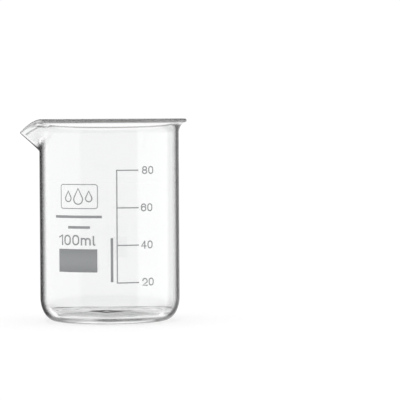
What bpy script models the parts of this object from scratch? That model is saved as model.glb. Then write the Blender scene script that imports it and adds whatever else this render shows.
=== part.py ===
"""A 100 ml low form laboratory beaker: one blown glass vessel with a pouring spout, and the
matt grey enamel marks that are fired onto its front.

Metres, +Z up. The beaker stands on z = 0 and its marks face -Y. Its spout points to -X, and
the origin lies midway between the spout's tip and the rim opposite, so the glass's own axis
stands at x = AXIS_X.
"""
import math

import bmesh
import bpy
from mathutils import Vector
from mathutils.geometry import delaunay_2d_cdt

# The glass: outer sizes, then thicknesses.
HEIGHT = 0.0722
WALL_RADIUS = 0.0250
CORNER = (0.0055, 0.0085)   # the wall turns into the base over this width and height
WALL = 0.0015
BASE = 0.0017
INNER_CORNER = (0.0055, 0.0060)
KICK_UP = 0.0006            # the underside is pushed up this far in the middle
KICK_UP_RADIUS = 0.0120     # and touches the bench outside this radius

# The flared rim: a fillet that leaves the wall, then a fire-polished bead.
FLARE_Z = HEIGHT - 0.0051
FLARE_RADIUS = 0.0045
FLARE_ANGLE = 50.0          # degrees that the wall has turned outwards at the bead
BEAD_RADIUS = 0.00072
RIM_RADIUS = 0.02787

# The spout: a V pulled out of the rim, whose two sides leave the rim's circle as tangents.
SPOUT_REACH = 0.0318            # glass axis to the tip
SPOUT_TIP_Z = HEIGHT - 0.0053   # the tip's underside
SPOUT_BASE_Z = HEIGHT - 0.0117  # the keel starts to leave the wall here
SPOUT_FILLET = 0.09             # how gently it leaves, as a share of the keel's height
SPOUT_BEAD_RADIUS = 0.00045
SPOUT_ROUNDING = 3.0            # degrees over which the keel is rounded

AXIS_X = (SPOUT_REACH - RIM_RADIUS) / 2

# The enamel marks lie on the wall. Their u is the distance round the wall from the front.
MARK_GAP = 0.0003
MARK_THICKNESS = 0.0002
MARK_PITCH = 0.0024         # longest straight step of a mark that bends round the wall
LINE = 0.00042              # width of the scale's lines and of the numerals' strokes
CAPACITY_LINE = 0.00054
BADGE_LINE = 0.00030
RULE_LINE = 0.00090

SCALE_U = (0.00260, 0.01062)
SCALE_TOP_Z = 0.0542
SCALE_STEP = 0.01305
NUMERAL_U = {"80": 0.0119, "60": 0.0114, "40": 0.0114, "20": 0.0118}
CAPACITY_GLYPHS = {"hundreds": "1", "tens": "0", "ones": "0", "unit_m": "m", "unit_l": "l"}
NUMERAL_HEIGHT = 0.0028
CAPACITY_START = (-0.0194, 0.0280)
CAPACITY_HEIGHT = 0.0037
SPOT_BOX = (-0.01955, 0.0186, -0.0044, 0.0267)
BADGE_BOX = (-0.01845, 0.0409, -0.0042, 0.0493)
BADGE_CORNER = 0.0009
RULES = {
    "rule_long": ((-0.0212, 0.0380), (-0.0027, 0.0380)),
    "rule_short": ((-0.0154, 0.0343), (-0.0070, 0.0343)),
    "rule_upright": ((0.00075, 0.0152), (0.00075, 0.0306)),
}

GLASS_COLOUR = (0.86, 0.90, 0.90, 1.0)
ENAMEL_COLOUR = (0.31, 0.32, 0.33, 1.0)

# How finely each curve is divided: columns of the glass in degrees, then numbers of steps.
COLUMN_STEP = 6.0
SPOUT_COLUMN_STEP = 3.0
SPOUT_HALF_ANGLE = 30.0
BASE_RINGS = 4
WALL_STEPS = 3
CURVE_STEPS = 5
BEAD_STEPS = 6
GLYPH_STEPS = 12
SHARPEST = 0.7              # cosine of half the turn past which a bend's mitre stops growing


def arc(centre, radius, start, stop, steps):
    """Points along an arc, or an ellipse's when radius is a pair; angles in degrees."""
    across, up = radius if isinstance(radius, tuple) else (radius, radius)
    turns = [math.radians(start + (stop - start) * i / steps) for i in range(steps + 1)]
    return [(centre[0] + across * math.cos(t), centre[1] + up * math.sin(t)) for t in turns]


def line(start, stop, steps):
    """Evenly spaced points from start to stop."""
    return [mix(start, stop, i / steps) for i in range(steps + 1)]


def mix(first, second, share):
    """The point that lies this share of the way from the first point to the second."""
    return tuple(a + (b - a) * share for a, b in zip(first, second))


# ---- the glass vessel ------------------------------------------------------------------


def kick_up(radius):
    """Height that the base is pushed up by at this radius."""
    return KICK_UP * (1 + math.cos(math.pi * min(radius / KICK_UP_RADIUS, 1))) / 2


def base_points(height):
    """Section of one face of the base, from near the axis to the edge of the kick-up."""
    radii = [KICK_UP_RADIUS * i / BASE_RINGS for i in range(1, BASE_RINGS + 1)]
    return [(r, height + kick_up(r)) for r in radii]


def rim_sections():
    """Section of the rim as three runs: up its outside, round its bead and down its inside."""
    flare_centre = (WALL_RADIUS + FLARE_RADIUS, FLARE_Z)
    bead_centre = (RIM_RADIUS - BEAD_RADIUS, HEIGHT - BEAD_RADIUS)
    turned = 180 - FLARE_ANGLE
    outside = line((WALL_RADIUS, SPOUT_BASE_Z), (WALL_RADIUS, FLARE_Z), WALL_STEPS)[:-1]
    outside += arc(flare_centre, FLARE_RADIUS, 180, turned, CURVE_STEPS)
    bead = arc(bead_centre, BEAD_RADIUS, turned - 180, turned, BEAD_STEPS)
    inside = arc(flare_centre, FLARE_RADIUS + WALL, turned, 180, CURVE_STEPS)
    inner_radius = WALL_RADIUS - WALL
    inside += line((inner_radius, FLARE_Z), (inner_radius, SPOUT_BASE_Z), WALL_STEPS)[1:]
    return outside, bead, inside


def keel_like(run, root, tip):
    """Points up the spout's slope from its root to its tip, spaced in proportion to a run's."""
    lengths = [0.0]
    for here, there in zip(run, run[1:]):
        lengths.append(lengths[-1] + math.dist(here, there))
    points = []
    for length in lengths:
        rise = length / lengths[-1]
        reach = math.hypot(rise, SPOUT_FILLET) - SPOUT_FILLET
        reach /= math.hypot(1, SPOUT_FILLET) - SPOUT_FILLET
        points.append((root[0] + (tip[0] - root[0]) * reach, root[1] + (tip[1] - root[1]) * rise))
    return points


def spout_sections(rim):
    """Section down the middle of the spout, with as many points as the rim's own."""
    outside, bead, inside = rim
    centre = (SPOUT_REACH - SPOUT_BEAD_RADIUS, SPOUT_TIP_Z + SPOUT_BEAD_RADIUS)
    tip = arc(centre, SPOUT_BEAD_RADIUS, -45, 135, BEAD_STEPS)
    keel = keel_like(outside, (WALL_RADIUS, SPOUT_BASE_Z), tip[0])
    valley = keel_like(inside[::-1], (WALL_RADIUS - WALL, SPOUT_BASE_Z + WALL / 2), tip[-1])
    return keel, tip, valley[::-1]


def pull_out(plain, pulled, angle):
    """A point of the lip at this angle from the spout, between its plain and its pulled place.

    Seen from above, the spout's two sides leave the circle as tangents and meet at the keel.
    """
    edge = math.acos(min(plain[0] / pulled[0], 1))
    rounding = min(math.radians(SPOUT_ROUNDING), edge / 2)

    def pull(turn):
        return 1 / math.cos(edge - min(math.hypot(turn, rounding), edge)) - 1

    return mix(plain, pulled, pull(angle) / pull(0) if edge else 0)


def column_angles():
    """Angles of the glass's columns in degrees, closer together on the spout at 180."""
    start, stop = 180 - SPOUT_HALF_ANGLE, 180 + SPOUT_HALF_ANGLE
    on_spout = round((stop - start) / SPOUT_COLUMN_STEP)
    beside = round((360 + start - stop) / COLUMN_STEP)
    angles = [start + SPOUT_COLUMN_STEP * i for i in range(on_spout)]
    return angles + [stop + COLUMN_STEP * i for i in range(beside)]


def glass_mesh():
    """The vessel: one closed skin, from under the base over the rim to the inner floor."""
    inner_radius = WALL_RADIUS - WALL
    below = base_points(0)
    below += arc((WALL_RADIUS - CORNER[0], CORNER[1]), CORNER, -90, 0, CURVE_STEPS)
    floor_centre = (inner_radius - INNER_CORNER[0], BASE + INNER_CORNER[1])
    within = arc(floor_centre, INNER_CORNER, 0, -90, CURVE_STEPS)
    within += reversed(base_points(BASE))
    rim = rim_sections()
    spout = spout_sections(rim)
    plain_lip = [point for run in rim for point in run]
    pulled_lip = [point for run in spout for point in run]

    mesh = bmesh.new()
    columns = []
    for degrees in column_angles():
        turn = math.radians(degrees - 180)
        lip = [pull_out(plain, pulled, turn) for plain, pulled in zip(plain_lip, pulled_lip)]
        cosine, sine = math.cos(math.radians(degrees)), math.sin(math.radians(degrees))
        columns.append([mesh.verts.new((AXIS_X + r * cosine, r * sine, z))
                        for r, z in below + lip + within])
    under = mesh.verts.new((AXIS_X, 0, kick_up(0)))
    floor = mesh.verts.new((AXIS_X, 0, BASE + kick_up(0)))
    for here, there in zip(columns, columns[1:] + columns[:1]):
        mesh.faces.new((under, there[0], here[0]))
        for i in range(len(here) - 1):
            mesh.faces.new((here[i], there[i], there[i + 1], here[i + 1]))
        mesh.faces.new((here[-1], there[-1], floor))
    return mesh


# ---- the shapes of the marks, as lines of points in metres -------------------------------
# A glyph is a list of strokes. Each is its points, in a box of the given width and height with
# a corner at the origin, and whether it closes on itself.


def stadium(width, height):
    """A closed oval with straight sides."""
    radius = width / 2
    half = GLYPH_STEPS // 2
    top = arc((radius, height - radius), radius, 0, 180, half)
    return top + arc((radius, radius), radius, 180, 360, half)


def glyph_one(width, height):
    return [([(0, height * 0.80), (width, height), (width, 0)], False)]


def glyph_two(width, height):
    radius = width / 2
    hook = arc((radius, height - radius), radius, 165, -30, GLYPH_STEPS // 2)
    return [(hook + [(0, 0), (width, 0)], False)]


def glyph_four(width, height):
    stem = width * 0.74
    bar = height * 0.30
    return [([mix((stem, height), (0, bar), 0.06), (0, bar), (width, bar)], False),
            ([(stem, height), (stem, 0)], False)]


def glyph_six(width, height):
    radius = width / 2
    bowl = arc((radius, height * 0.31), (radius, height * 0.31), 0, 360, GLYPH_STEPS)
    stem = arc((radius, height - radius), radius, 15, 180, GLYPH_STEPS // 2)
    return [(bowl[:-1], True), (stem + [(0, height * 0.31)], False)]


def glyph_eight(width, height):
    middle = width / 2
    upper = arc((middle, height * 0.745), (width * 0.44, height * 0.255), 0, 360, GLYPH_STEPS)
    lower = arc((middle, height * 0.27), (middle, height * 0.27), 0, 360, GLYPH_STEPS)
    return [(upper[:-1], True), (lower[:-1], True)]


def glyph_zero(width, height):
    return [(stadium(width, height), True)]


def glyph_m(width, height):
    top = height * 0.68
    span = width / 4
    steps = GLYPH_STEPS // 2
    first = arc((span, top - span), span, 180, 0, steps)
    second = arc((3 * span, top - span), span, 180, 0, steps)
    return [([(0, 0), (0, top)], False), (first + [(2 * span, 0)], False),
            (second + [(4 * span, 0)], False)]


def glyph_l(width, height):
    foot = arc((width, width), width, 180, 270, GLYPH_STEPS // 4)
    return [([(0, height * 0.90)] + foot, False)]


# Each glyph's strokes, and its width as a share of the height of its line.
GLYPHS = {
    "1": (glyph_one, 0.42),
    "2": (glyph_two, 0.72),
    "4": (glyph_four, 0.72),
    "6": (glyph_six, 0.72),
    "8": (glyph_eight, 0.72),
    "0": (glyph_zero, 0.72),
    "m": (glyph_m, 0.97),
    "l": (glyph_l, 0.22),
}
GLYPH_SPACING = 0.20


def drop_outline(centre, height):
    """A closed drop with its point up."""
    radius = height * 0.31
    tip = (centre[0], centre[1] + height - radius)
    touch = math.degrees(math.acos(radius / (tip[1] - centre[1])))
    return arc(centre, radius, 90 - touch, touch - 270, GLYPH_STEPS) + [tip]


def rounded_frame(box, corner):
    """A closed rectangle with rounded corners, in steps short enough to bend round the wall."""
    left, low, right, high = box
    points = []
    corners = ((right, high, 0), (left, high, 90), (left, low, 180), (right, low, 270))
    for x, z, turn in corners:
        centre = (x + (corner if x == left else -corner), z + (corner if z == low else -corner))
        points += arc(centre, corner, turn, turn + 90, 3)
    bent = []
    for here, there in zip(points, points[1:] + points[:1]):
        bent += bending(here, there)[:-1]
    return bent


def bending(start, stop):
    """Points from start to stop, close enough together round the wall to follow it."""
    return line(start, stop, max(1, math.ceil(abs(stop[0] - start[0]) / MARK_PITCH)))


def square_ends(points, reach):
    """An open stroke with both of its ends drawn out this far."""
    first, second, before, last = [Vector(points[i]) for i in (0, 1, -2, -1)]
    start = first + (first - second).normalized() * reach
    stop = last + (last - before).normalized() * reach
    return [tuple(start), *points[1:-1], tuple(stop)]


def stroke_quads(points, width, closed):
    """A line of points drawn with this width: one quad for each step, mitred at its bends."""
    centres = [Vector(point) for point in points]
    ahead = centres[1:] + centres[:1] if closed else centres[1:]
    steps = [(there - here).normalized() for here, there in zip(centres, ahead)]
    sides = []
    for i, centre in enumerate(centres):
        before = steps[i - 1] if i or closed else steps[0]
        after = steps[i] if i < len(steps) else steps[-1]
        along = (before + after).normalized()
        across = Vector((-along.y, along.x)) * (width / 2) / max(along.dot(after), SHARPEST)
        sides.append((centre - across, centre + across))
    others = sides[1:] + sides[:1] if closed else sides[1:]
    return [(here[0], there[0], there[1], here[1]) for here, there in zip(sides, others)]


# ---- the objects -------------------------------------------------------------------------


def clear_scene():
    for thing in list(bpy.data.objects):
        bpy.data.objects.remove(thing, do_unlink=True)


def finish(name, colour, roughness, transmission=0.0):
    material = bpy.data.materials.new(name + "_finish")
    material.use_nodes = True
    shader = material.node_tree.nodes["Principled BSDF"]
    shader.inputs["Base Color"].default_value = colour
    shader.inputs["Roughness"].default_value = roughness
    shader.inputs["Metallic"].default_value = 0.0
    shader.inputs["Transmission Weight"].default_value = transmission
    material.diffuse_color = colour
    return material


def place(name, mesh, material):
    """Turn a bmesh into a named object of the scene, shaded smooth up to 30 degrees."""
    data = bpy.data.meshes.new(name)
    mesh.to_mesh(data)
    mesh.free()
    data.shade_smooth()
    data.set_sharp_from_angle(angle=math.radians(30))
    data.materials.append(material)
    thing = bpy.data.objects.new(name, data)
    bpy.context.scene.collection.objects.link(thing)
    return thing


def wrap(point):
    """Carry a flat mark's point (u, z) onto the front of the wall."""
    radius = WALL_RADIUS + MARK_GAP
    turn = point[0] / WALL_RADIUS
    return (AXIS_X + radius * math.sin(turn), -radius * math.cos(turn), point[1])


def make_mark(name, strokes, width):
    """One mark from its strokes: their union, wrapped round the wall and given a thickness."""
    corners = []
    quads = []
    for points, closed in strokes:
        for quad in stroke_quads(points, width, closed):
            quads.append([len(corners) + i for i in range(4)])
            corners += quad
    points, _, faces, _, _, sources = delaunay_2d_cdt(corners, [], quads, 1, 1e-7)
    mesh = bmesh.new()
    verts = [mesh.verts.new(wrap(point)) for point in points]
    for face, source in zip(faces, sources):
        if source:
            mesh.faces.new([verts[i] for i in face])
    loose = [vert for vert in mesh.verts if not vert.link_faces]
    bmesh.ops.delete(mesh, geom=loose, context="VERTS")
    thing = place(name, mesh, finish(name, ENAMEL_COLOUR, 0.65))
    skin = thing.modifiers.new("thickness", "SOLIDIFY")
    skin.thickness = MARK_THICKNESS
    skin.offset = 1.0


def make_glyph(name, glyph, corner, height, width):
    """One numeral or letter, whose box has this corner and height outside its strokes."""
    shape, share = GLYPHS[glyph]
    strokes = []
    for points, closed in shape(height * share - width, height - width):
        drawn = points if closed else square_ends(points, width / 2)
        moved = [(corner[0] + width / 2 + u, corner[1] + width / 2 + v) for u, v in drawn]
        strokes.append((moved, closed))
    make_mark(name, strokes, width)


def make_line_of_glyphs(prefix, glyphs, corner, height, width):
    """Numerals and letters side by side, each its own mark under its own name."""
    u = corner[0]
    for name, glyph in glyphs.items():
        make_glyph(f"{prefix}_{name}", glyph, (u, corner[1]), height, width)
        u += height * (GLYPHS[glyph][1] + GLYPH_SPACING)


def make_scale():
    """The upright line with its four ticks, and the number beside each tick."""
    heights = [SCALE_TOP_Z - SCALE_STEP * i for i in range(len(NUMERAL_U))]
    half = LINE / 2
    left, right = SCALE_U
    strokes = [([(left, heights[0] + half), (left, heights[-1] - half)], False)]
    strokes += [(bending((left, z), (right, z)), False) for z in heights]
    make_mark("scale_lines", strokes, LINE)
    for (value, start), z in zip(NUMERAL_U.items(), heights):
        digits = {"tens": value[0], "ones": value[1]}
        corner = (start, z - NUMERAL_HEIGHT / 2)
        make_line_of_glyphs(f"number_{value}", digits, corner, NUMERAL_HEIGHT, LINE)


def make_badge():
    """A plain rounded frame with three drops in it."""
    make_mark("badge_frame", [(rounded_frame(BADGE_BOX, BADGE_CORNER), True)], BADGE_LINE)
    left, low, right, high = BADGE_BOX
    middle = ((left + right) / 2, (low + high) / 2)
    for name, step, height in (("left", -1, 0.0036), ("middle", 0, 0.0054), ("right", 1, 0.0036)):
        centre = (middle[0] + step * 0.0040, middle[1] - height * 0.19)
        make_mark(f"badge_drop_{name}", [(drop_outline(centre, height), True)], LINE)


def make_marking_spot():
    """The filled patch that takes a pencil note."""
    left, low, right, high = SPOT_BOX
    middle = (low + high) / 2
    make_mark("marking_spot", [(bending((left, middle), (right, middle)), False)], high - low)


def main():
    clear_scene()
    place("glass_vessel", glass_mesh(), finish("glass_vessel", GLASS_COLOUR, 0.05, 0.9))
    make_scale()
    make_line_of_glyphs("capacity", CAPACITY_GLYPHS, CAPACITY_START, CAPACITY_HEIGHT, CAPACITY_LINE)
    make_badge()
    make_marking_spot()
    for name, (start, stop) in RULES.items():
        make_mark(name, [(bending(start, stop), False)], RULE_LINE)


main()
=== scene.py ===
"""Looks of the 100 ml low form beaker: fine clear glass, fired enamel marks, floor, light, camera.

Metres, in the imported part's frame: +Z up, spout to -X, printed marks to -Y.
"""
import math

import bmesh
import bpy
from mathutils import Matrix, Vector
from mathutils.geometry import delaunay_2d_cdt


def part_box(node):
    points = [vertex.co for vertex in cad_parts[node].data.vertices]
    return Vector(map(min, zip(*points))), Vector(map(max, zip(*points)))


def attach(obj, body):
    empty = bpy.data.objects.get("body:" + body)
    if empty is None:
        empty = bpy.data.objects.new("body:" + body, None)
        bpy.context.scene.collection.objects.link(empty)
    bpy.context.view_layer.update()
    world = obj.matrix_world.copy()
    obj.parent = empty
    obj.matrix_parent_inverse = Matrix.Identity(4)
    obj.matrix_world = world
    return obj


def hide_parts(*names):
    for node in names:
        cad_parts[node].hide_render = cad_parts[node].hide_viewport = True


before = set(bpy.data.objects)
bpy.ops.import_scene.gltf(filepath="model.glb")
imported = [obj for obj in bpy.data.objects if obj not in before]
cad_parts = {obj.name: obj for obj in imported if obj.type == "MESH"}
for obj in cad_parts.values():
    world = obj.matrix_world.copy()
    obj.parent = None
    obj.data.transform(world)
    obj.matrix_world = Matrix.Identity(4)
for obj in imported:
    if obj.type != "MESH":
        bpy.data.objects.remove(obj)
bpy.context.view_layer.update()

# Sizes read from the frame.
GLASS_LOW, GLASS_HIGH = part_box("glass_vessel")
HEIGHT = GLASS_HIGH.z - GLASS_LOW.z
RIM_RADIUS = (GLASS_HIGH.y - GLASS_LOW.y) / 2
SPOUT_REACH = GLASS_HIGH.x - GLASS_LOW.x - RIM_RADIUS
SPOUT_EDGE = math.acos(RIM_RADIUS / SPOUT_REACH)    # angle from the spout's keel to its sides
AXIS_X = GLASS_HIGH.x - RIM_RADIUS

# The section of the glass. A corner is its width and its height.
WALL_RADIUS = 0.0250
WALL = 0.0015
BASE = 0.0017
CORNER = (0.0055, 0.0085)
INNER_CORNER = (0.0055, 0.0060)
KICK_UP = 0.0006            # how far the middle of the underside is pushed up
KICK_UP_RADIUS = 0.0120
INNER_KICK_UP = 0.0009      # the same on the inner floor, a little more than in the CAD
INNER_KICK_RADIUS = 0.0072
INNER_KICK_ASIDE = 0.0016   # how far that stands from the axis, towards the spout
FLARE_Z = HEIGHT - 0.0051
FLARE_RADIUS = 0.0045
FLARE_ANGLE = 50.0
BEAD_RADIUS = 0.00072
SPOUT_TIP_Z = HEIGHT - 0.0053
SPOUT_BASE_Z = HEIGHT - 0.0117
SPOUT_FILLET = 0.09         # roundness of the keel's foot, as a share of its rise
SPOUT_BEAD_RADIUS = 0.00045
SPOUT_ROUNDING = 3.0        # degrees either side of the keel over which it is rounded

# The glass is blown: its inner face wanders a little, most where the wall turns into the base.
WAVES = ((5, 0.7, 1.0), (9, 2.1, 0.6), (14, 4.0, 0.4))      # waves round, start, share of the size
BASE_WAVE = 0.00010         # size of the waves at the base
WALL_WAVE = 0.00001         # and up on the wall
WAVE_GROWTH = 6             # how late on the way down the wall's size grows into the base's

# How finely the glass is divided.
COLUMNS = 288
BASE_RINGS = 20
CORNER_STEPS = 16
WALL_STEPS = 30
SPOUT_WALL_STEPS = 12
FLARE_STEPS = 14
BEAD_STEPS = 12

# Where painted shade darkens the glass: its dark edges, rim and lines stand in for the dark
# surroundings that real glass shows there. Shares run from 0 to 1, and steps are the divisions
# above.
BASE_PAINTED_EDGE = 0.80            # share of the wall's painted dark edge that is left under the base
BASE_PAINTED_EDGE_FADE = 0.42       # share of the corner over which it comes back
FLARE_PAINTED_EDGE_FADE = 0.25      # share of the flare, at its top, over which it goes
BEAD_SHADE_CLEAR_FROM = 0.6       # share of the way round the rim's bead, where its painted grey starts to go
SPOUT_BEAD_SHADE = 0.7            # share of the bead's painted grey that is left along the spout
SPOUT_SHADE_FADE = math.radians(3)     # angle beside the spout over which the one becomes the other
LIP_PAINTED_LINE = 0.85             # share of the bead's painted grey on a painted dark line down the inside of the spout's lip
LIP_PAINTED_LINE_WIDTH = 1.3        # half width of that line, in steps
LIP_PAINTED_LINE_SIDE = 2.8         # steps from the bead down to it, at the spout's sides
LIP_PAINTED_LINE_MIDDLE = 5.4       # and at its keel
CORNER_PAINTED_LINE = ((5, 0.30), (6, 0.85), (7, 0.97))     # steps up the outer corner, and share of the painted grey there: a painted dark line round the foot
CORNER_PAINTED_LINE_WANDER = 0.25   # how much that share comes and goes round the glass
KICK_PAINTED_SHADE_RINGS = 7              # rings of the inner floor, on its raised middle, that get painted shade where seen edge on

# The enamel marks.
MARK_RADIUS = 0.0254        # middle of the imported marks' plates
ENAMEL_LIFT = 0.000006
ENAMEL_THICKNESS = 0.000035
MARK_PITCH = 0.0005
GLYPH_STEPS = 32
SHARPEST = 0.7              # cosine of half the turn past which a bend's mitre stops growing
MERGE_WITHIN = 1e-8
LINE = 0.00042
CAPACITY_LINE = 0.00054
BADGE_LINE = 0.00030
BADGE_CORNER = 0.0009

# The materials. A stop is a place from 0 to 1, and the grey or the colour there.
GLASS_IOR = 1.47
GLASS_TINT = (0.952, 0.955, 0.955)
# Painted shade: the dark grey of the rim's bead, of a line in the spout's lip and of a ring at the
# outer corner, standing in for the dark surroundings the glass shows there.
BEAD_PAINTED_SHADE = (0.07, 0.07, 0.07)
GLASS_SHADE = (0.97, 0.97, 0.97)
TRAPPED_AFTER = 2.5         # reflections, after which light caught inside the glass is let out
# Painted shade on the outer face, and on the inner floor's raised middle, by how far edge on it is
# seen: dark edges that stand in for the dark surroundings seen through real glass.
EDGE_PAINTED_SHADE_STOPS = ((0.0, GLASS_TINT), (0.56, GLASS_TINT), (0.62, 0.30), (0.66, 0.06), (0.70, 0.01),
              (1.0, 0.01))
KICK_PAINTED_SHADE_STOPS = ((0.0, GLASS_TINT), (0.66, GLASS_TINT), (0.73, 0.01), (1.0, 0.01))
ENAMEL_STOPS = ((0.30, (0.276, 0.286, 0.294)), (0.70, (0.296, 0.306, 0.314)))
ENAMEL_ROUGHNESS = 0.62
GRAIN_SCALE = 2600.0
GRAIN_DETAIL = 3.0
GRAIN_STRENGTH = 0.15
GRAIN_DEPTH = 0.00002

# How bright things are: 1 is the white that the picture can just hold.
BACKDROP = 1.03
FLOOR_SHARE = 0.5           # of the floor's brightness that comes from light falling on it
FLOOR_SIZE = 4.0
FLOOR_GAP = 0.0001          # how far the floor lies under the glass
# What the glass mirrors, by the direction in degrees: 0 is -Y and 90 is +X.
ROOM = ((-180, 1.0), (-170, 0.6), (-160, 0.02), (-150, 0.02), (-138, 1.2), (-52, 1.2), (-46, 0.1),
        (44, 0.1), (50, 2.0), (108, 2.0), (116, 0.1), (128, 0.1), (134, 1.8), (140, 1.8),
        (146, 0.5), (152, 0.3), (160, 0.5), (180, 1.0))
ROOM_BRIGHTEST = 4.0        # what a ramp's white stands for there, as a ramp ends at 1
ROOM_TALL = (0.35, 0.65)    # sine of the height, up or down, over which that becomes plain white
# A sharp ray that the glass bends towards -Y sees that room too. This fades in between these
# degrees from -Y, and between these sines of the height.
FRONT = (28.0, 22.0)
FRONT_LOW = (0.04, 0.10)
# How much of its light a sharp ray keeps once the glass has mirrored it, by the same sine.
UPWARD = ((0.0, 1.0), (0.02, 1.0), (0.05, 0.62), (0.12, 0.62), (0.16, 0.05), (0.60, 0.05),
          (0.70, 1.0), (1.0, 1.0))

# The camera: distance from the beaker's axis, height, aim and roll in degrees, focal length.
CAMERA_DISTANCE = 0.900
CAMERA_HEIGHT = 0.0718
CAMERA_YAW = 2.066
CAMERA_PITCH = 1.838
CAMERA_ROLL = -0.30
CAMERA_LENS = 226.0


def arc(centre, radius, start, stop, steps):
    """Points along an arc, or an ellipse's when radius is a pair; angles in degrees."""
    across, up = radius if isinstance(radius, tuple) else (radius, radius)
    turns = [math.radians(start + (stop - start) * i / steps) for i in range(steps + 1)]
    return [(centre[0] + across * math.cos(t), centre[1] + up * math.sin(t)) for t in turns]


def mix(first, second, share):
    """The point that lies this share of the way from the first point to the second."""
    return tuple(a + (b - a) * share for a, b in zip(first, second))


def line(start, stop, steps):
    """Evenly spaced points from start to stop."""
    return [mix(start, stop, i / steps) for i in range(steps + 1)]


# ---- the glass -----------------------------------------------------------------------------


def raised(radius, edge, height):
    """How far a face of the base is pushed up to this height, inside a circle of radius edge."""
    return height * (1 + math.cos(math.pi * min(radius / edge, 1))) / 2


def rim_sections():
    """Section of the rim as three runs: up its outside, round its bead and down its inside."""
    flare_centre = (WALL_RADIUS + FLARE_RADIUS, FLARE_Z)
    bead_centre = (RIM_RADIUS - BEAD_RADIUS, HEIGHT - BEAD_RADIUS)
    turned = 180 - FLARE_ANGLE
    outside = line((WALL_RADIUS, SPOUT_BASE_Z), (WALL_RADIUS, FLARE_Z), SPOUT_WALL_STEPS)[:-1]
    outside += arc(flare_centre, FLARE_RADIUS, 180, turned, FLARE_STEPS)
    bead = arc(bead_centre, BEAD_RADIUS, turned - 180, turned, BEAD_STEPS)
    inside = arc(flare_centre, FLARE_RADIUS + WALL, turned, 180, FLARE_STEPS)
    inner_radius = WALL_RADIUS - WALL
    inside += line((inner_radius, FLARE_Z), (inner_radius, SPOUT_BASE_Z), SPOUT_WALL_STEPS)[1:]
    return outside, bead, inside


def keel_like(run, root, tip):
    """Points up the spout's slope from its root to its tip, spaced in proportion to a run's."""
    lengths = [0.0]
    for here, there in zip(run, run[1:]):
        lengths.append(lengths[-1] + math.dist(here, there))
    points = []
    for length in lengths:
        rise = length / lengths[-1]
        reach = math.hypot(rise, SPOUT_FILLET) - SPOUT_FILLET
        reach /= math.hypot(1, SPOUT_FILLET) - SPOUT_FILLET
        points.append((root[0] + (tip[0] - root[0]) * reach, root[1] + (tip[1] - root[1]) * rise))
    return points


def spout_sections(rim):
    """Section down the middle of the spout, with as many points as the rim's own."""
    outside, _, inside = rim
    centre = (SPOUT_REACH - SPOUT_BEAD_RADIUS, SPOUT_TIP_Z + SPOUT_BEAD_RADIUS)
    tip = arc(centre, SPOUT_BEAD_RADIUS, -45, 135, BEAD_STEPS)
    keel = keel_like(outside, (WALL_RADIUS, SPOUT_BASE_Z), tip[0])
    valley = keel_like(inside[::-1], (WALL_RADIUS - WALL, SPOUT_BASE_Z + WALL / 2), tip[-1])
    return keel, tip, valley[::-1]


def pull_out(plain, pulled, angle):
    """A point of the lip at this angle from the spout, between its plain and its pulled place.

    Seen from above, the spout's two sides leave the circle as tangents and meet at the keel.
    """
    edge = math.acos(min(plain[0] / pulled[0], 1))
    rounding = min(math.radians(SPOUT_ROUNDING), edge / 2)

    def pull(turn):
        return 1 / math.cos(edge - min(math.hypot(turn, rounding), edge)) - 1

    return mix(plain, pulled, pull(angle) / pull(0) if edge else 0)


def wander(angle, size):
    """How far the inner face stands off its true place at this angle round the axis."""
    return size * sum(share * math.cos(count * angle + start) for count, start, share in WAVES)


def inner_points(angle):
    """Section of the inner face below the spout, from the wall down to near the axis."""
    inner_radius = WALL_RADIUS - WALL
    low = BASE + INNER_CORNER[1]
    points = []
    for r, z in line((inner_radius, SPOUT_BASE_Z), (inner_radius, low), WALL_STEPS)[1:-1]:
        grown = (SPOUT_BASE_Z - z) / (SPOUT_BASE_Z - low)
        size = WALL_WAVE + (BASE_WAVE - WALL_WAVE) * grown ** WAVE_GROWTH
        points.append((r + wander(angle, size), z))
    corner = arc((inner_radius - INNER_CORNER[0], low), INNER_CORNER, 0, -90, CORNER_STEPS)
    for i, (r, z) in enumerate(corner):
        turn = math.radians(90 * i / CORNER_STEPS)
        off = wander(angle, BASE_WAVE)
        points.append((r + off * math.cos(turn), z - off * math.sin(turn)))
    edge = corner[-1][0]
    for i in range(1, BASE_RINGS):
        r = edge * (1 - i / BASE_RINGS)
        level = BASE + raised(r, INNER_KICK_RADIUS, INNER_KICK_UP)
        points.append((r, level - wander(angle, BASE_WAVE) * r / edge))
    return points


def outer_points():
    """Section of the outer face below the spout, from near the axis up to the wall."""
    edge = WALL_RADIUS - CORNER[0]
    points = [(edge * i / BASE_RINGS, raised(edge * i / BASE_RINGS, KICK_UP_RADIUS, KICK_UP))
              for i in range(1, BASE_RINGS)]
    points += arc((edge, CORNER[1]), CORNER, -90, 0, CORNER_STEPS)
    return points + line((WALL_RADIUS, CORNER[1]), (WALL_RADIUS, SPOUT_BASE_Z), WALL_STEPS)[1:-1]


def painted_edge_shares():
    """How much of the wall's painted dark edge the outer face has, at each point of its section."""
    shares = [BASE_PAINTED_EDGE] * (BASE_RINGS - 1)
    shares += [BASE_PAINTED_EDGE + (1 - BASE_PAINTED_EDGE) * min(1, i / CORNER_STEPS / BASE_PAINTED_EDGE_FADE)
               for i in range(CORNER_STEPS + 1)]
    shares += [1.0] * (WALL_STEPS - 1 + SPOUT_WALL_STEPS)
    shares += [min(1.0, (1 - i / FLARE_STEPS) / FLARE_PAINTED_EDGE_FADE) for i in range(FLARE_STEPS + 1)]
    return shares


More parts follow.
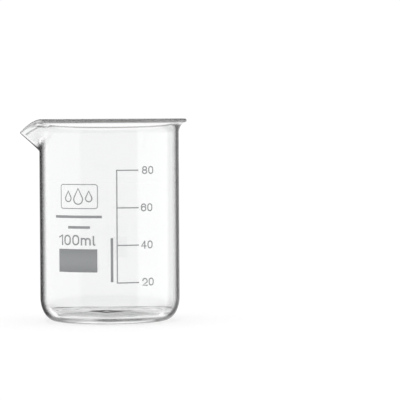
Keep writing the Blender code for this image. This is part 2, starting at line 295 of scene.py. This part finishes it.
def paint_shade_column(column, angle, shares, layers):
    """Mark where one column of the skin gets painted shade: layers are the outside, bead and kick.
    """
    outside, bead, kick = layers
    turn = abs(angle - math.pi)
    on_spout = min(1.0, max(0.0, 1 - (turn - SPOUT_EDGE) / SPOUT_SHADE_FADE))
    bead_start = len(shares)
    bead_stop = bead_start + BEAD_STEPS + 1
    for vert, share in zip(column, shares):
        vert[outside] = share
    for vert in column[bead_start - FLARE_STEPS:bead_stop]:
        vert[outside] = max(vert[outside], on_spout)
    # painted grey on the rim's bead, then a painted dark line in the spout's lip and a ring at the
    # outer corner
    for step, vert in enumerate(column[bead_start:bead_stop]):
        cleared = max(0.0, (step / BEAD_STEPS - BEAD_SHADE_CLEAR_FROM) / (1 - BEAD_SHADE_CLEAR_FROM))
        vert[bead] = (1 - cleared) * (1 - (1 - SPOUT_BEAD_SHADE) * on_spout)
    painted_line_step = LIP_PAINTED_LINE_SIDE + (LIP_PAINTED_LINE_MIDDLE - LIP_PAINTED_LINE_SIDE) * max(0.0, 1 - turn / SPOUT_EDGE)
    for step, vert in enumerate(column[bead_stop:bead_stop + FLARE_STEPS]):
        near = max(0.0, 1 - abs(step - painted_line_step) / LIP_PAINTED_LINE_WIDTH)
        vert[bead] = max(vert[bead], LIP_PAINTED_LINE * near * on_spout)
    for step, share in CORNER_PAINTED_LINE:
        column[BASE_RINGS - 1 + step][bead] = share * (1 + wander(angle, CORNER_PAINTED_LINE_WANDER))
    # painted shade mask: the floor's raised middle goes dark where it is seen edge on
    for vert in column[-KICK_PAINTED_SHADE_RINGS:]:
        vert[kick] = 1.0


def make_glass():
    """The vessel as one closed fine skin, from under the base over the rim to the inner floor."""
    below = outer_points()
    rim = rim_sections()
    plain_lip = [point for run in rim for point in run]
    pulled_lip = [point for run in spout_sections(rim) for point in run]
    shares = painted_edge_shares()
    mesh = bmesh.new()
    # Masks of painted shade: the outer face's dark edge, the painted grey of the bead and lines,
    # and the floor's dark middle.
    layers = [mesh.verts.layers.float.new(name) for name in ("outside", "bead", "kick")]
    columns = []
    for i in range(COLUMNS):
        angle = math.tau * i / COLUMNS
        lip = [pull_out(plain, pulled, angle - math.pi)
               for plain, pulled in zip(plain_lip, pulled_lip)]
        section = below + lip + inner_points(angle)
        cosine, sine = math.cos(angle), math.sin(angle)
        column = [mesh.verts.new((AXIS_X + r * cosine, r * sine, GLASS_LOW.z + z))
                  for r, z in section]
        for ring, vert in enumerate(column[-BASE_RINGS:]):
            vert.co.x -= INNER_KICK_ASIDE * ring / BASE_RINGS
        paint_shade_column(column, angle, shares, layers)
        columns.append(column)
    under = mesh.verts.new((AXIS_X, 0, GLASS_LOW.z + KICK_UP))
    floor = mesh.verts.new((AXIS_X - INNER_KICK_ASIDE, 0, GLASS_LOW.z + BASE + INNER_KICK_UP))
    under[layers[0]] = BASE_PAINTED_EDGE
    floor[layers[2]] = 1.0
    for here, there in zip(columns, columns[1:] + columns[:1]):
        mesh.faces.new((under, there[0], here[0]))
        for i in range(len(here) - 1):
            mesh.faces.new((here[i], there[i], there[i + 1], here[i + 1]))
        mesh.faces.new((here[-1], there[-1], floor))
    return mesh


# ---- the marks -----------------------------------------------------------------------------
# A glyph is a list of strokes. Each is its points, in a box of the given width and height with
# a corner at the origin, and whether it closes on itself.


def stadium(width, height):
    """A closed oval with straight sides."""
    radius = width / 2
    half = GLYPH_STEPS // 2
    top = arc((radius, height - radius), radius, 0, 180, half)
    return top + arc((radius, radius), radius, 180, 360, half)


def glyph_one(width, height):
    flag = height * 0.80
    return [([(0, flag), (width, height), (width, 0)], False)]


def glyph_two(width, height):
    radius = width / 2
    hook = arc((radius, height - radius), radius, 165, -30, GLYPH_STEPS // 2)
    return [(hook + [(0, 0), (width, 0)], False)]


def glyph_four(width, height):
    stem = width * 0.74
    level = height * 0.30
    slant_top = mix((stem, height), (0, level), 0.06)
    return [([slant_top, (0, level), (width, level)], False),
            ([(stem, height), (stem, 0)], False)]


def glyph_six(width, height):
    radius = width / 2
    low = height * 0.31
    bowl = arc((radius, low), (radius, low), 0, 360, GLYPH_STEPS)
    stem = arc((radius, height - radius), radius, 15, 180, GLYPH_STEPS // 2)
    return [(bowl[:-1], True), (stem + [(0, low)], False)]


def glyph_eight(width, height):
    middle = width / 2
    low = height * 0.27
    narrow, high = width * 0.44, height * 0.255
    lower = arc((middle, low), (middle, low), 0, 360, GLYPH_STEPS)
    upper = arc((middle, height - high), (narrow, high), 0, 360, GLYPH_STEPS)
    return [(upper[:-1], True), (lower[:-1], True)]


def glyph_zero(width, height):
    return [(stadium(width, height), True)]


def glyph_m(width, height):
    span = width / 4
    steps = GLYPH_STEPS // 2
    first = arc((span, height - span), span, 180, 0, steps)
    second = arc((3 * span, height - span), span, 180, 0, steps)
    return [([(0, 0), (0, height)], False), (first + [(2 * span, 0)], False),
            (second + [(4 * span, 0)], False)]


def glyph_l(width, height):
    foot = arc((width, width), width, 180, 270, GLYPH_STEPS // 4)
    return [([(0, height)] + foot, False)]


def drop(width, height):
    """A closed drop with its point up."""
    radius = width / 2
    touch = math.degrees(math.acos(radius / (height - radius)))
    belly = arc((radius, radius), radius, 90 - touch, touch - 270, GLYPH_STEPS)
    return [(belly + [(radius, height)], True)]


def bar(width, height):
    """A filled patch: one stroke as wide as the box is high."""
    return [(bending((0, height / 2), (width, height / 2)), False)]


def rounded_frame(width, height):
    """A closed rectangle with rounded corners."""
    points = []
    corners = ((width, height, 0), (0, height, 90), (0, 0, 180), (width, 0, 270))
    for x, z, turn in corners:
        centre = (x + (BADGE_CORNER if x == 0 else -BADGE_CORNER),
                  z + (BADGE_CORNER if z == 0 else -BADGE_CORNER))
        points += arc(centre, BADGE_CORNER, turn, turn + 90, GLYPH_STEPS // 4)
    bent = []
    for here, there in zip(points, points[1:] + points[:1]):
        bent += bending(here, there)[:-1]
    return [(bent, True)]


def scale_lines(width, height):
    """The upright line and its four ticks."""
    ticks = [(bending((0, height * i / 3), (width, height * i / 3)), False) for i in range(4)]
    return [([(0, -LINE / 2), (0, height + LINE / 2)], False)] + ticks


def bending(start, stop):
    """Points from start to stop, close enough together round the wall to follow it."""
    return line(start, stop, max(1, math.ceil(abs(stop[0] - start[0]) / MARK_PITCH)))


def square_ends(points, reach):
    """An open stroke with both of its ends drawn out this far."""
    first, second, before, last = [Vector(points[i]) for i in (0, 1, -2, -1)]
    start = first + (first - second).normalized() * reach
    stop = last + (last - before).normalized() * reach
    return [tuple(start), *points[1:-1], tuple(stop)]


def stroke_quads(points, width, closed):
    """A line of points drawn with this width: one quad for each step, mitred at its bends."""
    centres = [Vector(point) for point in points]
    ahead = centres[1:] + centres[:1] if closed else centres[1:]
    steps = [(there - here).normalized() for here, there in zip(centres, ahead)]
    sides = []
    for i, centre in enumerate(centres):
        before = steps[i - 1] if i or closed else steps[0]
        after = steps[i] if i < len(steps) else steps[-1]
        along = (before + after).normalized()
        across = Vector((-along.y, along.x)) * (width / 2) / max(along.dot(after), SHARPEST)
        sides.append((centre - across, centre + across))
    others = sides[1:] + sides[:1] if closed else sides[1:]
    return [(here[0], there[0], there[1], here[1]) for here, there in zip(sides, others)]


def flat_box(node):
    """A packed mark's box, unrolled: (u, z) of its low corner, its width and its height."""
    low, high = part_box(node)
    start, stop = [WALL_RADIUS * math.asin((x - AXIS_X) / MARK_RADIUS) for x in (low.x, high.x)]
    return (start, low.z), stop - start, high.z - low.z


def wrap(point):
    """Carry a flat mark's point (u, z) onto the front of the wall."""
    radius = WALL_RADIUS + ENAMEL_LIFT
    turn = point[0] / WALL_RADIUS
    return (AXIS_X + radius * math.sin(turn), -radius * math.cos(turn), point[1])


def make_mark(node, shape, pen, material, filled=False, square=False):
    """The fine version of one packed mark, drawn with this pen width to fill the same box."""
    corner, width, height = flat_box(node)
    inset = 0 if filled else pen / 2
    corners = []
    quads = []
    for points, closed in shape(width - 2 * inset, height - 2 * inset):
        drawn = square_ends(points, inset) if square and not closed else points
        moved = [(corner[0] + inset + u, corner[1] + inset + v) for u, v in drawn]
        for quad in stroke_quads(moved, height if filled else pen, closed):
            quads.append([len(corners) + i for i in range(4)])
            corners += quad
    inside_only = 1
    points, _, faces, _, _, sources = delaunay_2d_cdt(corners, [], quads, inside_only, MERGE_WITHIN)
    mesh = bmesh.new()
    verts = [mesh.verts.new(wrap(point)) for point in points]
    for face, source in zip(faces, sources):
        if source:
            mesh.faces.new([verts[i] for i in face])
    loose = [vert for vert in mesh.verts if not vert.link_faces]
    bmesh.ops.delete(mesh, geom=loose, context="VERTS")
    piece = add_piece("enamel_" + node, mesh, material, [node])
    skin = piece.modifiers.new("thickness", "SOLIDIFY")
    skin.thickness = ENAMEL_THICKNESS
    skin.offset = 1.0


def add_piece(name, mesh, material, nodes):
    """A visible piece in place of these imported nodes."""
    data = bpy.data.meshes.new(name)
    mesh.to_mesh(data)
    mesh.free()
    data.shade_smooth()
    data.materials.append(material)
    piece = bpy.data.objects.new(name, data)
    bpy.context.scene.collection.objects.link(piece)
    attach(piece, "root")
    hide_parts(*nodes)
    return piece


def make_marks(material):
    digits = {"0": glyph_zero, "2": glyph_two, "4": glyph_four, "6": glyph_six, "8": glyph_eight}
    for value in ("80", "60", "40", "20"):
        make_mark(f"number_{value}_tens", digits[value[0]], LINE, material, square=True)
        make_mark(f"number_{value}_ones", digits[value[1]], LINE, material, square=True)
    for name, shape in (("hundreds", glyph_one), ("tens", glyph_zero), ("ones", glyph_zero),
                        ("unit_m", glyph_m), ("unit_l", glyph_l)):
        make_mark(f"capacity_{name}", shape, CAPACITY_LINE, material, square=True)
    make_mark("scale_lines", scale_lines, LINE, material)
    make_mark("badge_frame", rounded_frame, BADGE_LINE, material)
    for side in ("left", "middle", "right"):
        make_mark(f"badge_drop_{side}", drop, LINE, material)
    for node in ("marking_spot", "rule_long", "rule_short", "rule_upright"):
        make_mark(node, bar, 0, material, filled=True)


# ---- the materials -------------------------------------------------------------------------
# An operand is a number, a colour or another node's output.


def opaque(colour):
    return (*colour, 1.0)


def feed(tree, socket, operand):
    """Link an output into this socket, or set the socket's own value."""
    if isinstance(operand, bpy.types.NodeSocket):
        tree.links.new(operand, socket)
    else:
        socket.default_value = operand


def add_math(tree, operation, *operands, clamp=False):
    """Result of one step of arithmetic."""
    node = tree.nodes.new("ShaderNodeMath")
    node.operation = operation
    node.use_clamp = clamp
    for socket, operand in zip(node.inputs, operands):
        feed(tree, socket, operand)
    return node.outputs["Value"]


def add_fade(tree, value, start, stop):
    """0 where the value is start or before it, rising evenly to 1 where it is stop or past it."""
    node = tree.nodes.new("ShaderNodeMapRange")
    feed(tree, node.inputs["Value"], value)
    node.inputs["From Min"].default_value = start
    node.inputs["From Max"].default_value = stop
    return node.outputs["Result"]


def add_mix(tree, data_type, share, first, second):
    """The first of two numbers or colours where the share is 0, the second where it is 1."""
    node = tree.nodes.new("ShaderNodeMix")
    node.data_type = data_type
    for name, operand in (("Factor", share), ("A", first), ("B", second)):
        feed(tree, node.inputs[name], operand)
    return node.outputs["Result"]


def add_ramp(tree, stops, place):
    """The grey or colour that these stops give at a place from 0 to 1."""
    node = tree.nodes.new("ShaderNodeValToRGB")
    elements = node.color_ramp.elements
    while len(elements) < len(stops):
        elements.new(1.0)
    for element, (position, colour) in zip(elements, stops):
        element.position = position
        element.color = opaque(colour if isinstance(colour, tuple) else (colour,) * 3)
    feed(tree, node.inputs["Fac"], place)
    return node.outputs["Color"]


def add_layer(tree, name):
    """The share that make_glass stored under this name."""
    node = tree.nodes.new("ShaderNodeAttribute")
    node.attribute_name = name
    return node.outputs["Fac"]


def new_material(name):
    """A node material, its node tree and its Principled shader."""
    material = bpy.data.materials.new(name)
    material.use_nodes = True
    tree = material.node_tree
    return material, tree, tree.nodes["Principled BSDF"]


def glass_material():
    """Clear borosilicate, which lamps shine through. Its outer face and the raised middle of its
    floor get painted shade where they are seen edge on, standing in for the dark edges that real
    glass shows before a bright backdrop that ends beside it; the bead mask paints dark grey too."""
    material, tree, shader = new_material("borosilicate_glass")
    shader.inputs["Transmission Weight"].default_value = 1.0
    shader.inputs["IOR"].default_value = GLASS_IOR
    shader.inputs["Roughness"].default_value = 0.0
    weight = tree.nodes.new("ShaderNodeLayerWeight")
    weight.inputs["Blend"].default_value = 0.5
    edge_on = weight.outputs["Facing"]
    side = tree.nodes.new("ShaderNodeNewGeometry")
    entering = add_math(tree, "SUBTRACT", 1.0, side.outputs["Backfacing"])
    outside = add_math(tree, "MULTIPLY", add_layer(tree, "outside"), entering)
    # Painted shade: the outer face goes dark where it is seen edge on, by the outside mask.
    edge = add_ramp(tree, EDGE_PAINTED_SHADE_STOPS, edge_on)
    middle = add_ramp(tree, KICK_PAINTED_SHADE_STOPS, edge_on)
    tint_and_painted_shade = add_mix(tree, "RGBA", outside, opaque(GLASS_TINT), edge)
    # Painted shade: the floor's raised middle goes dark where it is seen edge on, by the kick mask.
    tint_and_painted_shade = add_mix(tree, "RGBA", add_layer(tree, "kick"), tint_and_painted_shade, middle)
    # Painted shade: dark grey on the rim's bead, the spout's lip line and the corner ring, by the
    # bead mask.
    tint_and_painted_shade = add_mix(tree, "RGBA", add_layer(tree, "bead"), tint_and_painted_shade, opaque(BEAD_PAINTED_SHADE))
    feed(tree, shader.inputs["Base Color"], tint_and_painted_shade)
    ray = tree.nodes.new("ShaderNodeLightPath")
    trapped = add_math(tree, "GREATER_THAN", ray.outputs["Glossy Depth"], TRAPPED_AFTER)
    straight = add_math(tree, "MAXIMUM", ray.outputs["Is Shadow Ray"], trapped)
    clear = tree.nodes.new("ShaderNodeBsdfTransparent")
    clear.inputs["Color"].default_value = opaque(GLASS_SHADE)
    both = tree.nodes.new("ShaderNodeMixShader")
    for socket, operand in zip(both.inputs, (straight, shader.outputs["BSDF"],
                                             clear.outputs["BSDF"])):
        feed(tree, socket, operand)
    feed(tree, tree.nodes["Material Output"].inputs["Surface"], both.outputs["Shader"])
    return material


def enamel_material():
    """Matt grey enamel with the fine grain that a fired screen print has."""
    material, tree, shader = new_material("grey_enamel")
    place = tree.nodes.new("ShaderNodeTexCoord")
    grain = tree.nodes.new("ShaderNodeTexNoise")
    grain.inputs["Scale"].default_value = GRAIN_SCALE
    grain.inputs["Detail"].default_value = GRAIN_DETAIL
    feed(tree, grain.inputs["Vector"], place.outputs["Object"])
    bump = tree.nodes.new("ShaderNodeBump")
    bump.inputs["Strength"].default_value = GRAIN_STRENGTH
    bump.inputs["Distance"].default_value = GRAIN_DEPTH
    feed(tree, bump.inputs["Height"], grain.outputs["Fac"])
    feed(tree, shader.inputs["Base Color"], add_ramp(tree, ENAMEL_STOPS, grain.outputs["Fac"]))
    feed(tree, shader.inputs["Normal"], bump.outputs["Normal"])
    shader.inputs["Roughness"].default_value = ENAMEL_ROUGHNESS
    return material


# ---- floor, light and camera ---------------------------------------------------------------


def make_floor():
    """A pale sheet that glows a little, so that it is as bright as the backdrop."""
    material, _, shader = new_material("pale_floor")
    shader.inputs["Base Color"].default_value = opaque((FLOOR_SHARE,) * 3)
    shader.inputs["Roughness"].default_value = 1.0
    shader.inputs["Specular IOR Level"].default_value = 0.0
    shader.inputs["Emission Color"].default_value = (1, 1, 1, 1)
    shader.inputs["Emission Strength"].default_value = BACKDROP * (1 - FLOOR_SHARE)
    mesh = bmesh.new()
    bmesh.ops.create_grid(mesh, x_segments=1, y_segments=1, size=FLOOR_SIZE / 2)
    data = bpy.data.meshes.new("floor")
    mesh.to_mesh(data)
    mesh.free()
    data.materials.append(material)
    sheet = bpy.data.objects.new("floor", data)
    sheet.location.z = GLASS_LOW.z - FLOOR_GAP
    sheet.visible_glossy = False
    bpy.context.scene.collection.objects.link(sheet)


def make_world():
    """White all round, but the glass mirrors a room: soft boxes with dark gaps between them."""
    world = bpy.data.worlds.new("soft_white")
    world.use_nodes = True
    tree = world.node_tree
    background = tree.nodes["Background"]
    background.inputs["Color"].default_value = (1, 1, 1, 1)
    place = tree.nodes.new("ShaderNodeTexCoord")
    axes = tree.nodes.new("ShaderNodeSeparateXYZ")
    feed(tree, axes.inputs["Vector"], place.outputs["Generated"])
    height = axes.outputs["Z"]
    ray = tree.nodes.new("ShaderNodeLightPath")
    sharp = ray.outputs["Is Singular Ray"]

    forwards = add_math(tree, "MULTIPLY", axes.outputs["Y"], -1.0)
    turn = add_math(tree, "ARCTAN2", axes.outputs["X"], forwards)
    stops = [((degrees + 180) / 360, level / ROOM_BRIGHTEST) for degrees, level in ROOM]
    room = add_ramp(tree, stops, add_fade(tree, turn, -math.pi, math.pi))
    room = add_math(tree, "MULTIPLY", room, ROOM_BRIGHTEST)

    aside = add_math(tree, "ABSOLUTE", turn)
    front = add_fade(tree, aside, math.radians(FRONT[0]), math.radians(FRONT[1]))
    front = add_math(tree, "MULTIPLY", front, add_fade(tree, height, *FRONT_LOW))
    seen = add_math(tree, "MAXIMUM", ray.outputs["Is Reflection Ray"], front)
    seen = add_math(tree, "MULTIPLY", seen, sharp)
    tilt = add_math(tree, "ABSOLUTE", height)
    seen = add_math(tree, "MULTIPLY", seen, add_fade(tree, tilt, ROOM_TALL[1], ROOM_TALL[0]))
    level = add_mix(tree, "FLOAT", seen, BACKDROP, room)

    dimmed = add_math(tree, "MULTIPLY", level, add_ramp(tree, UPWARD, height))
    mirrored = add_math(tree, "MULTIPLY", sharp, ray.outputs["Glossy Depth"], clamp=True)
    level = add_mix(tree, "FLOAT", mirrored, level, dimmed)
    feed(tree, background.inputs["Strength"], level)
    bpy.context.scene.world = world


def make_camera():
    data = bpy.data.cameras.new("camera")
    data.lens = CAMERA_LENS
    camera = bpy.data.objects.new("camera", data)
    turn = Matrix.Rotation(math.radians(-CAMERA_YAW), 4, "Z")
    turn @= Matrix.Rotation(math.radians(90 - CAMERA_PITCH), 4, "X")
    turn @= Matrix.Rotation(math.radians(CAMERA_ROLL), 4, "Z")
    camera.matrix_world = Matrix.Translation((AXIS_X, -CAMERA_DISTANCE, CAMERA_HEIGHT)) @ turn
    bpy.context.scene.collection.objects.link(camera)
    bpy.context.scene.camera = camera


def main():
    bpy.context.scene.view_settings.view_transform = "Standard"
    make_camera()
    make_floor()
    make_world()
    add_piece("glass", make_glass(), glass_material(), ["glass_vessel"])
    make_marks(enamel_material())


main()
